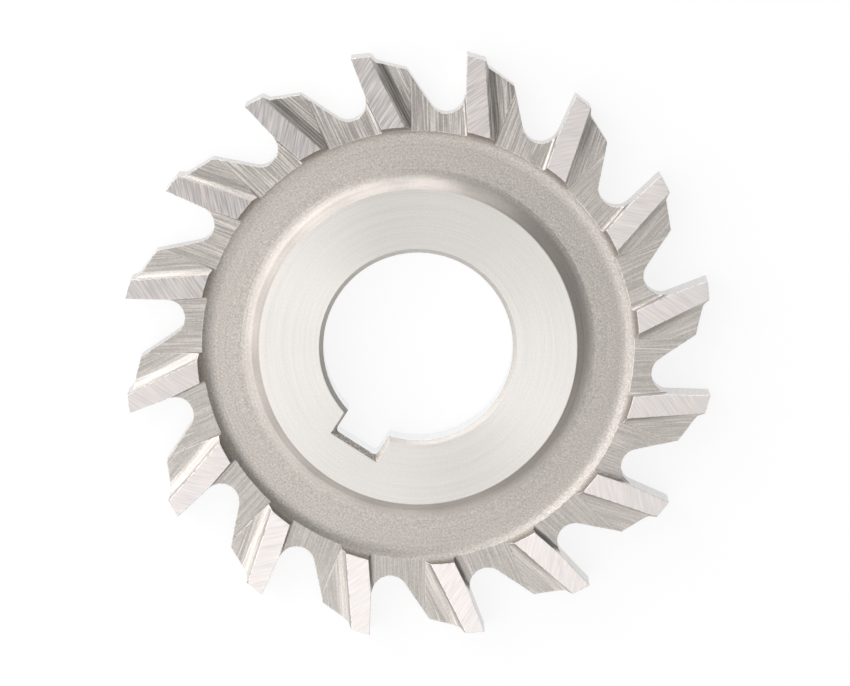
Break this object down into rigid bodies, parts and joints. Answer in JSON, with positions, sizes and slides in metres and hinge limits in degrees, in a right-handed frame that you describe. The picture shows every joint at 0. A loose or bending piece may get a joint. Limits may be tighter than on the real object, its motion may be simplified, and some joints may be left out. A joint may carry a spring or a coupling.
{
  "type": "side and face cutter",
  "caption": "Disc milling cutter with straight teeth on the rim and on both faces, a recessed web, a raised hub and a keyed bore that slides on a milling arbor.",
  "frame": {"origin": "where the bore's axis meets the lower face of the hub", "axes": "+Z along the bore's axis, -Y through the middle of the keyway"},
  "size_m": [0.05, 0.05, 0.004],
  "materials": {
    "high_speed_steel": "ground hub and lands, blasted recess, coarse-ground reliefs"
  },
  "bodies": {
    "root": {"cutter_body": "high_speed_steel"}
  },
  "joints": []
}
